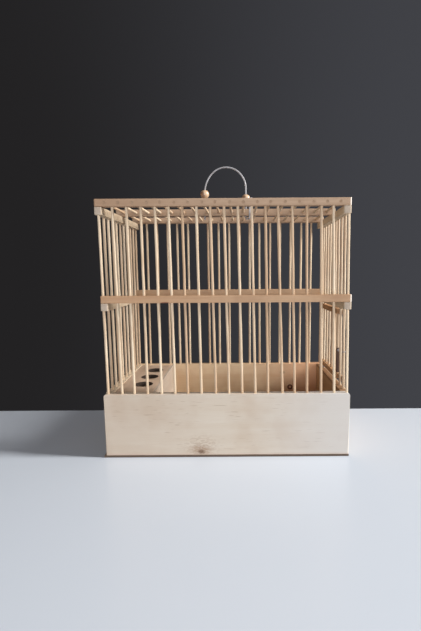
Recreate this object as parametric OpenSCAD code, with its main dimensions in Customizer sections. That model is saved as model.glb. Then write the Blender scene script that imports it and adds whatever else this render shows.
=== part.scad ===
// Small travelling cage for a breeding canary. Four thin boards and a ply floor make a deep box. Square
// battens above it make a middle and a top frame, and round sticks in drilled holes make the walls and roof.
// X runs to the right and Y away from the viewer, so the front is at -Y. Z is up, and the origin is the
// middle of the box at its underside. Sizes are millimetres.

/* [Box] */
// Width of the box across its front
box_w = 280; // [250:5:310]
// Depth of the box and of both frames, front to back
box_d = 156; // [140:2:190]
// Height of the four boards
board_h = 72; // [55:1:90]
// Thickness of the four boards
board_t = 9; // [8:0.5:11]
// Radius worn onto the upper corners of the front and back boards
corner_r = 3; // [1:0.5:4]
// Thickness of the ply floor
floor_t = 2.6; // [2:0.2:4]
// How far the floor sticks out past the left board
floor_proud = 2; // [0:0.5:4]

/* [Battens] */
// Side of the square battens
rail_t = 8.5; // [7.5:0.5:10]
// How far the side battens stand in from the sides of the box
frame_inset = 1; // [0:0.5:2]
// Open height of the lower tier, from the box up to the middle side battens
lower_h = 95; // [80:1:120]
// Open height of the upper tier, from the middle front batten up to the top side battens
upper_h = 87.5; // [60:0.5:110]
// How far the front of the top frame has leaned to the left
lean = 2.5; // [0:0.5:4]

/* [Sticks] */
// Diameter of the sticks
stick_d = 3; // [2.5:0.25:3.5]
// Distance between neighbouring sticks
pitch = 15; // [13:0.5:17]
// Depth that the sticks stand in boards and top battens
sink = 5.5; // [4:0.5:6]
// Play round a glued stick in its hole
glue_gap = 0.05; // [0.05:0.01:0.1]
// How far the front and back rows sit to the right of the middle
row_shift = 1; // [-1:0.5:2]
// Wood left between a side wall's sticks and the outer faces of their battens
skin = 0.6; // [0.5:0.1:1.2]
// How much further in the left wall's sticks stand than the right wall's
left_wall_in = 1.5; // [1:0.5:2]
// How far the roof's row sits to the right of the middle
roof_shift = 7; // [6:0.5:8]

/* [Feeder] */
// Width of the feeder board
feeder_w = 44; // [36:1:60]
// Thickness of the feeder board
feeder_t = 5; // [3:0.5:8]
// How far the feeder board lies below the box's upper edge
feeder_drop = 1; // [0:0.5:10]
// Diameter of the cup holes
cup_d = 22; // [16:0.5:26]
// Distance between neighbouring cup holes
cup_pitch = 35; // [30:1:42]
// Distance from the left board to the middle of the cup holes
cup_in = 26; // [18:0.5:28]
// How far the row of cup holes sits behind the middle
cup_back = 3; // [-4:0.5:6]
// Thickness of the partition beside the feeder
partition_t = 3; // [2:0.5:6]

/* [Door] */
// Number of bays between wall sticks that the door covers
door_bays = 5; // [4:1:6]
// Height of the door's two bars
bar_h = 6.5; // [5:0.5:9]
// Thickness of the door's two bars
bar_t = 6.5; // [6:0.5:8]
// Gap between the box and the lower bar
bar_low = 5; // [3:0.5:12]
// Gap between the upper bar and the middle side batten
bar_high = 3; // [1:0.5:8]
// Diameter of the stile at the door's free edge
stile_d = 4.2; // [3.5:0.1:5]
// Running play of the bars on their post
hinge_gap = 0.08; // [0.03:0.01:0.1]
// Play between the door's lapped ends and the wall stick that stops them
stop_gap = 0.3; // [0.2:0.05:0.6]
// Length of the turn button
button_l = 31; // [22:1:34]
// Width of the turn button
button_w = 4.8; // [3.5:0.1:5]
// Thickness of the turn button
button_t = 2.4; // [1.5:0.1:2.5]

/* [Handle] */
// Thickness of the handle's wire
wire_d = 2; // [1.5:0.1:2.2]
// Distance of each leg from the roof stick beside it
leg_side = 3.5; // [3.5:0.1:4.5]
// Height of the left straight leg above the top battens
leg_h = 20; // [16:0.5:30]
// How much tighter the bow's top is bent than a plain half circle
bow_tight = 2; // [1:0.5:4]
// How much wider the bow's left shoulder is bent than the right one
bow_skew = 4; // [1:0.5:6]
// Diameter of the wooden beads
bead_d = 11; // [8:0.5:13]
// Height of the left bead's middle above the top battens
left_bead_h = 18.5; // [15:0.5:20]
// Height of the right bead's middle above the top battens
right_bead_h = 13; // [9:0.5:15]
// How far the handle rises before its bends meet the batten
lift = 1.5; // [1:0.5:4]
// Play of the wire in the batten
wire_gap = 0.08; // [0.05:0.01:0.1]
// Play of the wire in the beads
bead_gap = 0.3; // [0.25:0.05:0.5]

/* [Small fittings] */
// Thickness of the fine binding wire
fine_d = 0.9; // [0.6:0.1:1.2]
// Diameter of the washer on the back board
washer_d = 8; // [6:0.5:12]
// Diameter of the screw's head
head_d = 4; // [3:0.5:5.5]
// Length of the screw below its head
screw_l = 7; // [5:0.5:8]
// How far the screw stands to the right of the middle
screw_x = 91.5; // [60:0.5:110]
// Height of the screw above the floor's upper face
screw_h = 36; // [20:1:50]
// Height of the wire tie above the box's upper edge
tie_h = 44; // [20:1:60]
// Diameter of the brads that hold the floor
brad_d = 1.2; // [0.8:0.1:2]
// Length of the brads that hold the floor
brad_l = 14; // [8:1:20]

/* [Hidden] */
$fn = 48;

cream = [0.85, 0.79, 0.70];
tan_wood = [0.80, 0.64, 0.46];
straw = [0.89, 0.77, 0.58];
ply_brown = [0.42, 0.34, 0.27];
bead_wood = [0.84, 0.60, 0.38];
dark_brown = [0.25, 0.16, 0.10];
steel = [0.70, 0.71, 0.73];
dark_steel = [0.22, 0.18, 0.16];

// Levels, from the ground up
box_top = floor_t + board_h;
mid_side_z = box_top + lower_h;
mid_front_z = mid_side_z + rail_t;
top_side_z = mid_front_z + rail_t + upper_h;
top_front_z = top_side_z + rail_t;
roof_z = top_front_z + rail_t / 2;
cage_top = top_front_z + rail_t;

// Lines of sticks
frame_w = box_w - 2 * frame_inset;
side_x = frame_w / 2 - rail_t / 2;
row_y = box_d / 2 - rail_t / 2;
stick_r = stick_d / 2;
// The side walls' sticks stand near the outer faces of their battens
wall_x = side_x + rail_t / 2 - stick_r - skin;
function wall_line(side) = side < 0 ? left_wall_in - wall_x : wall_x;
cut = 1;

// Sticks on each side of the middle one in the front and back rows
row_n = floor((side_x - 0.6 * pitch - abs(row_shift)) / pitch);
// Bays along a side wall, and the place of the stick at each end of a bay
side_n = round(2 * row_y / pitch);
function side_y(k) = -row_y + k * 2 * row_y / side_n;
mid_k = round(side_n / 2);
mid_y = side_y(mid_k);
// First and last stick of the roof's row, whose ends lie just inside the battens' faces
roof_end = 0.3;
roof_max = frame_w / 2 - rail_t - stick_r;
roof_first = ceil((-roof_max - roof_shift) / pitch);
roof_last = floor((roof_max - roof_shift) / pitch);

// Each hand-drilled hole strays a little from its even place. The lists run from the left and repeat.
front_low_stray = [-0.5, -1.5, -1.5, -0.5, 0, -0.5, 0, 1.5, 1.5, 1.5, 1.5, 1, 2.5, 1.5, 0.5, 1.5, 1.5];
front_high_stray = [-1.5, -1, -0.5, 0, -0.5, -0.5, 0, 0, 0, 0, 0, 0, -1.5, -1, 0, 1, -1];
back_stray = [0.5, 0, 0.5, -0.5, 0.5, -1, -0.5, 0, 0.5, 1, 0.5, -0.5, 0.5, 0, 0.5, 1, 0.5];
side_stray = [0, 0, 0, 0.5, -0.5, 0.5, 0, -0.5, 0.5, 0, 0];
roof_stray = [0.5, 0, 0.5, 1, 0, 0.5, 0, 0.5, -0.5, 0.5, 0, 0, -0.5, 0, 0.5, 1, 0.5, 0];
function stray(list, i) = list[i % len(list)];

// The top frame's lean is whole at the front face and nothing at the back face
function lean_at(y) = -lean * (box_d / 2 - y) / box_d;

low_z = box_top - sink;
high_z = top_side_z + sink;
frame_high_z = top_front_z + sink;
half_sink = rail_t / 2 - 0.75;

// Ends of each stick, as [low or front point, high or back point]
function front_stick(i) =
    let (x = (i - row_n) * pitch + row_shift)
    [[x + stray(front_low_stray, i), -row_y, low_z],
     [x + stray(front_high_stray, i) + lean_at(-row_y), -row_y, frame_high_z]];
function back_stick(i) =
    let (x = (i - row_n) * pitch + row_shift)
    [[x, row_y, low_z], [x + stray(back_stray, i) + lean_at(row_y), row_y, frame_high_z]];
function side_stick(side, k, top_z) =
    [[wall_line(side), side_y(k), low_z],
     [wall_line(side) + lean_at(side_y(k)), side_y(k) + stray(side_stray, k), top_z]];
function corner_stick(side, y) =
    [[wall_line(side), y, low_z], [wall_line(side) + lean_at(y), y, frame_high_z]];
function roof_x(k, y) = k * pitch + roof_shift + lean_at(y);
function roof_stick(k) =
    let (s = stray(roof_stray, k - roof_first), y = box_d / 2 - roof_end)
    [[roof_x(k, -y) + s, -y, roof_z], [roof_x(k, y), y, roof_z]];
// The part of a stick from height z up
function from_z(ends, z) =
    let (t = (z - ends[0].z) / (ends[1].z - ends[0].z)) [ends[0] + t * (ends[1] - ends[0]), ends[1]];

// Door, between the wall stick that stops it and the post that it turns on
door_to = side_n - 2;
door_from = door_to - door_bays;
post_y = side_y(door_to);
stile_y = side_y(door_from);
stop_y = side_y(door_from - 1);
low_bar_z = box_top + bar_low;
high_bar_z = mid_side_z - bar_high - bar_h;
bar_tail = 5;
bar_nose = 4.5;
lap_past = 3;
bar_sink = 4.5;
stile_r = stile_d / 2;
running = 0.15;

// Turn button, hanging in front of the stile from a wire pin near its upper end
pin_r = 0.7;
pin_in = button_w / 2;
pin_head_r = 1.7;
pin_head_t = 0.8;
button_low = low_bar_z + bar_h + 1;
pin_z = button_low + button_l - pin_in;
button_y = stile_y - stile_r - stop_gap - button_t;

// Handle
wire_r = wire_d / 2;
left_leg_x = roof_x(-2, mid_y) - leg_side;
right_leg_x = roof_x(1, mid_y) + leg_side;
bend_r = 1.2 * wire_d;
hair = 0.05;
foot_z = top_front_z - lift - bend_r;
foot_l = 3.6;
// The right leg's end comes up in front of the batten, turned this far to the right of it
tail_turn = 37;
tail_clear = 0.8;
tail_reach = (rail_t / 2 + wire_r + tail_clear) / cos(tail_turn);
curl_r = 3;
tail_top = cage_top + right_bead_h - 3.2;
// The bow's three arcs, each given by its centre and radius. The shoulders turn by the same angle.
shoulder = 45;
bow_r = (right_leg_x - left_leg_x) / 2;
top_r = bow_r - bow_tight;
shoulder_r = bow_r + bow_tight * cos(shoulder) / (1 - cos(shoulder));
left_c = [left_leg_x + shoulder_r + bow_skew, cage_top + leg_h];
top_c = left_c + (shoulder_r + bow_skew - top_r) * [-cos(shoulder), sin(shoulder)];
right_c = top_c + (top_r - shoulder_r + bow_skew) * [cos(shoulder), sin(shoulder)];

// The row of cup holes
feeder_z = box_top - feeder_drop - feeder_t;
left_in = -box_w / 2 + board_t;
inner_d = box_d - 2 * board_t;
partition_x = left_in + feeder_w;

// ---- Shapes that repeat ----

// Turns what stands along Z by the shortest way into the direction of v
module along(v) {
    heading = atan2(v.y, v.x);
    rotate([0, acos(v.z / norm(v)), heading]) rotate([0, 0, -heading]) children();
}

// A round bar between two points, lengthened at both ends by more
module rod(ends, r, more = 0) {
    v = ends[1] - ends[0];
    translate(ends[0]) along(v) translate([0, 0, -more]) cylinder(h = norm(v) + 2 * more, r = r);
}

module stick(ends) rod(ends, stick_r);
module stick_hole(ends) rod(ends, stick_r + glue_gap, glue_gap);

module front_holes() for (i = [0 : 2 * row_n]) stick_hole(front_stick(i));
module back_holes() for (i = [0 : 2 * row_n]) stick_hole(back_stick(i));
module corner_holes(side) for (y = [-row_y, row_y]) stick_hole(corner_stick(side, y));
module roof_holes() for (k = [roof_first : roof_last]) rod(roof_stick(k), stick_r + glue_gap, cut);

// Height that a side wall's stick reaches: the middle one pins the top middle batten as well
function side_top(k) = k == mid_k ? frame_high_z : high_z;
function is_full(side, k) = side < 0 || k < door_from || k > door_to;
module side_wall_holes(side) {
    for (k = [1 : side_n - 1]) if (is_full(side, k)) stick_hole(side_stick(side, k, side_top(k)));
    corner_holes(side);
}

// A batten that runs across the cage with its lower front edge at y0, z0
module cross_rail(x, y0, z0) translate([x - frame_w / 2, y0, z0]) cube([frame_w, rail_t, rail_t]);

// A board with worn upper corners, standing across the box with its front face at y0
module long_board(y0) {
    translate([-box_w / 2, y0 + board_t, floor_t]) rotate([90, 0, 0]) linear_extrude(board_t) {
        square([box_w, board_h - corner_r]);
        translate([corner_r, 0]) square([box_w - 2 * corner_r, board_h]);
        for (x = [corner_r, box_w - corner_r]) translate([x, board_h - corner_r]) circle(corner_r);
    }
}

module short_board(side) {
    x0 = side < 0 ? left_in - board_t : -left_in;
    translate([x0, -inner_d / 2, floor_t]) cube([board_t, inner_d, board_h]);
}

// Places of the brads, under the middle of the four boards' edges
brad_side_x = box_w / 2 - board_t / 2;
brad_row_y = box_d / 2 - board_t / 2;
function brad_points() = concat(
    [for (x = [-0.4, -0.13, 0.13, 0.4], y = [-brad_row_y, brad_row_y]) [x * box_w, y]],
    [for (x = [-brad_side_x, brad_side_x], y = [-0.22, 0.22]) [x, y * box_d]]);
module at_brads() for (p = brad_points()) translate([p.x, p.y, 0]) children();
module brad(play = 0) {
    translate([0, 0, play > 0 ? -cut : 0])
        cylinder(h = brad_d / 2 + (play > 0 ? cut + play : 0), r = brad_d + play);
    cylinder(h = brad_l + play, r = brad_d / 2 + play);
}

// ---- Box ----

module floor_panel() color(ply_brown) difference() {
    translate([-box_w / 2 - floor_proud, -box_d / 2, 0]) cube([box_w + floor_proud, box_d, floor_t]);
    at_brads() brad(glue_gap);
}

module floor_brads() color(dark_steel) at_brads() brad();

module front_board() color(cream) difference() {
    long_board(-box_d / 2);
    front_holes();
    corner_holes(-1);
    corner_holes(1);
    at_brads() brad(glue_gap);
}

module back_board() color(cream) difference() {
    long_board(box_d / 2 - board_t);
    back_holes();
    corner_holes(-1);
    corner_holes(1);
    at_brads() brad(glue_gap);
    at_screw() translate([0, 0, -screw_l - glue_gap]) cylinder(h = screw_l + cut, r = head_d / 4 + glue_gap);
}

module left_board() color(cream) difference() {
    short_board(-1);
    side_wall_holes(-1);
    at_brads() brad(glue_gap);
}

module right_board() color(cream) difference() {
    short_board(1);
    side_wall_holes(1);
    stick_hole(post_ends);
    at_brads() brad(glue_gap);
}

// ---- Middle frame ----

module middle_side_rail(side) color(tan_wood) difference() {
    translate([side * side_x - rail_t / 2, -box_d / 2, mid_side_z]) cube([rail_t, box_d, rail_t]);
    side_wall_holes(side);
    if (side > 0) {
        right_upper_holes();
        stick_hole(post_ends);
    }
}

module middle_left_rail() middle_side_rail(-1);
module middle_right_rail() middle_side_rail(1);

module middle_front_rail() color(tan_wood) difference() {
    cross_rail(0, -box_d / 2, mid_front_z);
    front_holes();
    corner_holes(-1);
    corner_holes(1);
}

module middle_back_rail() color(tan_wood) difference() {
    cross_rail(0, box_d / 2 - rail_t, mid_front_z);
    back_holes();
    corner_holes(-1);
    corner_holes(1);
}

// ---- Top frame ----

// The top side battens run askew, because only their front ends have leaned
module top_side_rail(side) color(cream) difference() {
    translate([0, 0, top_side_z]) linear_extrude(rail_t) polygon([
        [side * side_x - rail_t / 2 - lean, -box_d / 2], [side * side_x + rail_t / 2 - lean, -box_d / 2],
        [side * side_x + rail_t / 2, box_d / 2], [side * side_x - rail_t / 2, box_d / 2]]);
    side_wall_holes(side);
    if (side > 0) right_upper_holes();
}

module top_left_rail() top_side_rail(-1);
module top_right_rail() top_side_rail(1);

module top_front_rail() color(tan_wood) difference() {
    cross_rail(lean_at(-row_y), -box_d / 2, top_front_z);
    front_holes();
    corner_holes(-1);
    corner_holes(1);
    roof_holes();
}

module top_back_rail() color(tan_wood) difference() {
    cross_rail(lean_at(row_y), box_d / 2 - rail_t, top_front_z);
    back_holes();
    corner_holes(-1);
    corner_holes(1);
    roof_holes();
}

module top_middle_rail() color(tan_wood) difference() {
    cross_rail(lean_at(mid_y), mid_y - rail_t / 2, top_front_z);
    for (side = [-1, 1]) stick_hole(side_stick(side, mid_k, side_top(mid_k)));
    roof_holes();
    for (x = [left_leg_x, right_leg_x]) translate([x, mid_y, top_front_z - cut])
        cylinder(h = rail_t + 2 * cut, r = wire_r + wire_gap);
}

// ---- Sticks ----

module corner_sticks() color(straw)
    for (side = [-1, 1], y = [-row_y, row_y]) stick(corner_stick(side, y));
module front_sticks() color(straw) for (i = [0 : 2 * row_n]) stick(front_stick(i));
module back_sticks() color(straw) for (i = [0 : 2 * row_n]) stick(back_stick(i));
module side_sticks(side) color(straw)
    for (k = [1 : side_n - 1]) if (is_full(side, k)) stick(side_stick(side, k, side_top(k)));
module left_sticks() side_sticks(-1);
module right_sticks() side_sticks(1);
module roof_sticks() color(straw) for (k = [roof_first : roof_last]) stick(roof_stick(k));

// Over the door the right wall's sticks start in the middle batten
upper_from = mid_front_z - half_sink;
function right_upper_stick(k) = from_z(side_stick(1, k, side_top(k)), upper_from);
module right_upper_holes() for (k = [door_from : door_to]) stick_hole(right_upper_stick(k));
module right_upper_sticks() color(straw)
    for (k = [door_from : door_to]) stick(right_upper_stick(k));

// ---- Feeder ----

module feeder_board() color(cream) difference() {
    translate([left_in, -inner_d / 2, feeder_z]) cube([feeder_w, inner_d, feeder_t]);
    for (i = [-1 : 1]) translate([left_in + cup_in, cup_back + i * cup_pitch, feeder_z - cut])
        cylinder(h = feeder_t + 2 * cut, r = cup_d / 2);
}

module feeder_partition() color(cream)
    translate([partition_x, -inner_d / 2, floor_t])
        cube([partition_t, inner_d, feeder_z + feeder_t - floor_t]);

// ---- Door ----

post_ends = [[wall_x, post_y, low_z], [wall_x, post_y, mid_side_z + half_sink]];

module door_post() color(straw) stick(post_ends);

// Fine wire wound round the post, which carries the door at its height
module door_collar() color(steel) {
    turns = floor((bar_low - 2 * running) / fine_d);
    step = (bar_low - 2 * running - fine_d) / (turns - 1);
    translate([wall_x, post_y, box_top + running]) rotate_extrude() translate([stick_r + hinge_gap, 0]) {
        square([fine_d / 2, bar_low - 2 * running]);
        for (i = [0 : turns - 1]) translate([fine_d / 2, fine_d / 2 + i * step]) circle(fine_d / 2);
    }
}

// Ends of the door's own sticks, between the two bars
function door_stick(k) = [[wall_x, side_y(k), low_bar_z + bar_h - bar_sink],
                          [wall_x, side_y(k), high_bar_z + bar_sink]];

// A bar turns on the post and laps outside the wall stick that stops it
module door_bar(z) color(tan_wood) difference() {
    union() {
        translate([wall_x - bar_t / 2, stile_y - bar_nose, z])
            cube([bar_t, post_y + bar_tail - stile_y + bar_nose, bar_h]);
        translate([wall_x + stick_r + stop_gap, stop_y - lap_past, z])
            cube([bar_t / 2 - stick_r - stop_gap, stile_y - stop_y + lap_past, bar_h]);
    }
    translate([wall_x, post_y, z - cut]) cylinder(h = bar_h + 2 * cut, r = stick_r + hinge_gap);
    for (k = [door_from + 1 : door_to - 1]) stick_hole(door_stick(k));
    rod(door_stick(door_from), stile_r + glue_gap, glue_gap);
}

module door_upper_bar() door_bar(high_bar_z);
module door_lower_bar() door_bar(low_bar_z);
module door_sticks() color(straw) for (k = [door_from + 1 : door_to - 1]) stick(door_stick(k));

module door_stile() color(straw) difference() {
    rod(door_stick(door_from), stile_r);
    translate([wall_x, stile_y + stile_d, pin_z]) rotate([90, 0, 0])
        cylinder(h = 2 * stile_d, r = pin_r + glue_gap);
}

// A dark strip with round ends that hangs in front of the stile and turns on its pin
module door_button() color(dark_brown) difference() {
    translate([wall_x, button_y + button_t, 0]) rotate([90, 0, 0]) linear_extrude(button_t) {
        translate([-button_w / 2, button_low + pin_in]) square([button_w, button_l - 2 * pin_in]);
        for (z = [button_low + pin_in, pin_z]) translate([0, z]) circle(button_w / 2);
    }
    translate([wall_x, button_y + button_t + cut, pin_z]) rotate([90, 0, 0])
        cylinder(h = button_t + 2 * cut, r = pin_r + hinge_gap);
}

module button_pin() color(steel) translate([wall_x, button_y - stop_gap, pin_z]) rotate([-90, 0, 0]) {
    cylinder(h = stile_y + stile_r + 1 - button_y, r = pin_r);
    translate([0, 0, -pin_head_t]) cylinder(h = pin_head_t, r = pin_head_r);
}

// ---- Handle ----

// Runs of the wire stop a hair short of each other, inside a drop that is a hair thicker than the wire
module drop() sphere(wire_r + hair / 2);

// An arc of the wire across the cage, from an angle above +X on by a turn
module wire_arc(r, from, turn) {
    short = asin(hair / r);
    rotate([90, 0, 0]) rotate([0, 0, from + short]) rotate_extrude(angle = turn - 2 * short)
        translate([r, 0]) circle(wire_r);
}

// A straight run of the wire, upright or forward
module wire_up(l) translate([0, 0, hair]) cylinder(h = l - 2 * hair, r = wire_r);
module wire_forward(l) rotate([90, 0, 0]) wire_up(l);

// A quarter bend from straight down at the origin to straight forward
module wire_bend() {
    drop();
    translate([0, -bend_r, 0]) rotate([0, 0, 90]) mirror([0, 0, 1]) wire_arc(bend_r, 0, 90);
    translate([0, -bend_r, -bend_r]) drop();
}

// A straight leg down through the batten, bent forward under it and turned to the right
module handle_leg(x, top, run, turn) translate([x, mid_y, foot_z + bend_r]) rotate([0, 0, turn]) {
    wire_up(top - foot_z - bend_r);
    translate([0, 0, top - foot_z - bend_r]) drop();
    wire_bend();
    translate([0, -bend_r, -bend_r]) wire_forward(run);
}

// The wire's end, which comes up again in front of the batten and finishes in a small curl
module handle_tail(x)
    translate([x, mid_y, foot_z + bend_r]) rotate([0, 0, tail_turn]) translate([0, -tail_reach, 0]) {
        mirror([0, 1, 0]) wire_bend();
        wire_up(tail_top - foot_z - bend_r);
        translate([0, 0, tail_top - foot_z - bend_r]) {
            drop();
            translate([curl_r, 0, 0]) wire_arc(curl_r, 0, 180);
        }
    }

module bow_arc(c, r, from, turn) translate([c.x, mid_y, c[1]]) {
    wire_arc(r, from, turn);
    translate([r * cos(from), 0, r * sin(from)]) drop();
}

module handle_wire() color(steel) {
    handle_leg(left_leg_x, left_c[1], foot_l, 0);
    bow_arc(left_c, shoulder_r + bow_skew, 180 - shoulder, shoulder);
    bow_arc(top_c, top_r, shoulder, 180 - 2 * shoulder);
    bow_arc(right_c, shoulder_r - bow_skew, 0, shoulder);
    handle_leg(right_leg_x, right_c[1], tail_reach - 2 * bend_r, tail_turn);
    handle_tail(right_leg_x);
}

module bead(x, h) color(bead_wood) translate([x, mid_y, cage_top + h]) difference() {
    sphere(bead_d / 2);
    cylinder(h = 2 * bead_d, r = wire_r + bead_gap, center = true);
}

module handle_left_bead() bead(left_leg_x, left_bead_h);
module handle_right_bead() bead(right_leg_x, right_bead_h);

// ---- Small fittings ----

// The screw's place on the inner face of the back board, looking out of it
module at_screw() translate([screw_x, box_d / 2 - board_t, floor_t + screw_h]) rotate([90, 0, 0]) children();

washer_t = 0.8;
module back_washer() color(dark_steel) at_screw() difference() {
    cylinder(h = washer_t, r = washer_d / 2);
    translate([0, 0, -cut]) cylinder(h = washer_t + 2 * cut, r = head_d / 4 + glue_gap);
}

module back_screw() color(steel) at_screw() {
    translate([0, 0, -screw_l]) cylinder(h = screw_l + washer_t, r = head_d / 4);
    translate([0, 0, washer_t]) rotate_extrude() intersection() {
        translate([0, -head_d / 4]) circle(head_d / 2);
        square([head_d, head_d]);
    }
}

// A turn of fine wire round the first stick of the right wall
module stick_tie() color(steel) {
    ends = side_stick(1, 1, side_top(1));
    spot = from_z(ends, box_top + tie_h);
    translate(spot[0]) along(spot[1] - spot[0])
        rotate_extrude() translate([stick_r + glue_gap + fine_d / 2, 0]) circle(fine_d / 2);
}

floor_panel();
floor_brads();
front_board();
back_board();
left_board();
right_board();
middle_left_rail();
middle_right_rail();
middle_front_rail();
middle_back_rail();
top_left_rail();
top_right_rail();
top_front_rail();
top_middle_rail();
top_back_rail();
corner_sticks();
front_sticks();
back_sticks();
left_sticks();
right_sticks();
right_upper_sticks();
roof_sticks();
feeder_board();
feeder_partition();
door_post();
door_collar();
door_upper_bar();
door_lower_bar();
door_sticks();
door_stile();
door_button();
button_pin();
handle_wire();
handle_left_bead();
handle_right_bead();
back_washer();
back_screw();
stick_tie();
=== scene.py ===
# A small travelling cage for a breeding canary: a deep box of four boards on a ply floor, a middle and a
# top frame of square battens, and walls and a roof of round sticks. The script follows the cage as it is
# put together, from the floor up. X runs to the right, Y away from the viewer and Z up, in metres.
import math
import random

import bpy
from mathutils import Matrix, Vector


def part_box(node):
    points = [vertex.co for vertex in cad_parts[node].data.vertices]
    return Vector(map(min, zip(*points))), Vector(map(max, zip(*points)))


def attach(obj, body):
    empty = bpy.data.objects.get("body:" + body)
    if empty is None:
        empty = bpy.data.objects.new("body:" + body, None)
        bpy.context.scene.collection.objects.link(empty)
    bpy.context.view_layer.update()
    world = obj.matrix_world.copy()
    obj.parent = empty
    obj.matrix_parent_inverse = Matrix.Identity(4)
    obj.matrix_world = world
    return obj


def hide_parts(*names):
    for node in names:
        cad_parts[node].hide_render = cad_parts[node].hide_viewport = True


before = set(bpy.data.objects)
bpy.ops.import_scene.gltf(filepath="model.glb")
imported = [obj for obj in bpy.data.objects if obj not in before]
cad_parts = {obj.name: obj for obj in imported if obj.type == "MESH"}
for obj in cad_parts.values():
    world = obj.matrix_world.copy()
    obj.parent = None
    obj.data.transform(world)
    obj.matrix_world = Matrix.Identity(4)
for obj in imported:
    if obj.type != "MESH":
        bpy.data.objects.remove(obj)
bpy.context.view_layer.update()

# ---- Floor ----
# One sheet of thin ply under the whole box, nailed up into the boards with round brads. It was sawn a
# little long, so it stands proud of the left board, and its raw edge shows the dark core.

MM = 0.001
X, Y, Z = 0, 1, 2
PLY_SKIN = 0.15 * MM
ALONG_FIBRES = 0.035


def paint(red, green, blue):
    """A colour as it looks in daylight, 0 to 255, as the linear value that a shader takes."""
    shares = [c / 255 for c in (red, green, blue)]
    return tuple(s / 12.92 if s < 0.04 else ((s + 0.055) / 1.055) ** 2.4 for s in shares) + (1.0,)


class Shade:
    """A number, colour or vector in a finish. Sums written on it add Math nodes."""

    def __init__(self, tree, socket=None):
        self.tree = tree
        self.socket = socket

    def node(self, kind, settings=None, sockets=None, out=0):
        """Adds a node, its settings first and then what its sockets hold, and returns one output."""
        made = self.tree.nodes.new("ShaderNode" + kind)
        for name, value in (settings or {}).items():
            setattr(made, name, value)
        for name, value in (sockets or {}).items():
            if isinstance(value, Shade):
                self.tree.links.new(value.socket, made.inputs[name])
            else:
                made.inputs[name].default_value = value
        return Shade(self.tree, made.outputs[out] if len(made.outputs) else None)

    def sum(self, operation, first, second=0.0):
        return self.node("Math", {"operation": operation}, {0: first, 1: second})

    def __add__(self, other):
        return self.sum("ADD", self, other)

    def __sub__(self, other):
        return self.sum("SUBTRACT", self, other)

    def __rsub__(self, other):
        return self.sum("SUBTRACT", other, self)

    def __mul__(self, other):
        return self.sum("MULTIPLY", self, other)

    def __abs__(self):
        return self.sum("ABSOLUTE", self)

    __radd__, __rmul__ = __add__, __mul__

    def span(self, low, high):
        """0 below low, 1 above high and a soft step between them. Low may be the greater."""
        return self.node("MapRange", {"interpolation_type": "SMOOTHSTEP"},
                         {"Value": self, "From Min": low, "From Max": high})

    def between(self, first, second):
        """The first colour where this mask is 0, the second where it is 1."""
        return self.node("Mix", {"data_type": "RGBA"}, {0: self, 6: first, 7: second}, 2)

    def part(self, axis):
        """One of the three numbers of a vector."""
        return self.node("SeparateXYZ", None, {0: self}, axis)

    def noise(self, scale, detail=2.0, rough=0.5, twist=0.0):
        return self.node("TexNoise", None, {"Vector": self, "Scale": scale, "Detail": detail,
                                            "Roughness": rough, "Distortion": twist})

    def stretched(self, factors):
        """The place with each axis made finer or coarser, for a pattern that is drawn out along one."""
        return self.node("VectorMath", {"operation": "MULTIPLY"}, {0: self, 1: factors})

    def round_spot(self, centre, size):
        """1 in the middle of an ellipsoid, 0 from its skin outwards."""
        moved = self.node("VectorMath", {"operation": "SUBTRACT"}, {0: self, 1: centre})
        scaled = moved.node("VectorMath", {"operation": "DIVIDE"}, {0: moved, 1: size})
        return 1 - scaled.node("VectorMath", {"operation": "LENGTH"}, {0: scaled}, 1).span(0.0, 1.0)


def new_finish(name):
    """An empty material, and the place to write its nodes from."""
    material = bpy.data.materials.new(name)
    material.use_nodes = True
    material.node_tree.nodes.clear()
    return material, Shade(material.node_tree)


def surface(new, colour, rough, normal, **constants):
    """The one shader of a finish, and its output."""
    sockets = {"Base Color": colour, "Roughness": rough}
    if normal:
        sockets["Normal"] = normal
    sockets.update({name.replace("_", " "): value for name, value in constants.items()})
    shader = new.node("BsdfPrincipled", None, sockets)
    new.node("OutputMaterial", None, {"Surface": shader})


def wood(name, along, pale, deep, worn, figure=70.0, depth=0.6, rough=0.58, end=0.75, marks=None,
         each=False, cut=None, **constants):
    """Planed wood with its fibres along one axis: fine lines, broad rings, pores, handling and end grain.

    Figure is how fine the rings are and depth how strong. End is how far the end grain goes to the cut
    colour. Marks adds what only this piece has, and each gives every stick of a row a tone of its own.
    """
    material, new = new_finish(name)
    place = new.node("TexCoord", out="Object")
    facing = new.node("TexCoord", out="Normal")
    squeeze = [1.0, 1.0, 1.0]
    squeeze[along] = ALONG_FIBRES
    run = place.stretched(squeeze)
    fibre = run.noise(900.0, detail=3.0, rough=0.65)
    ring = run.noise(figure, twist=0.9)
    cloud = place.noise(17.0, detail=3.0, rough=0.6)
    pore = run.noise(2300.0, detail=1.0).span(0.66, 0.8)
    grain = ring.span(0.36, 0.66) * 0.6 + fibre.span(0.34, 0.72) * 0.4
    colour = (grain * depth).between(pale, deep)
    colour = (cloud.span(0.48, 0.74) * 0.45).between(colour, worn)
    colour = (pore * 0.3).between(colour, worn)
    if each:
        tone = new.node("Attribute", {"attribute_name": "tone"}, None, "Fac")
        colour = (tone * 0.75).between(colour, worn)
    across = abs(facing.part(along)).span(0.6, 0.85)
    speckle = place.noise(1400.0, rough=0.7).span(0.4, 0.7)
    colour = (across * (speckle * 0.35 + (end - 0.35))).between(colour, cut or deep)
    if marks:
        colour = marks(place, colour)
    bumps = place.node("Bump", None, {"Strength": 0.5, "Distance": 0.12 * MM,
                                      "Height": fibre * 0.7 + ring * 0.3 - pore * 0.4})
    surface(new, colour, rough + fibre * 0.16 - cloud * 0.08, bumps, Specular_IOR_Level=0.4, **constants)
    return material


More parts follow.
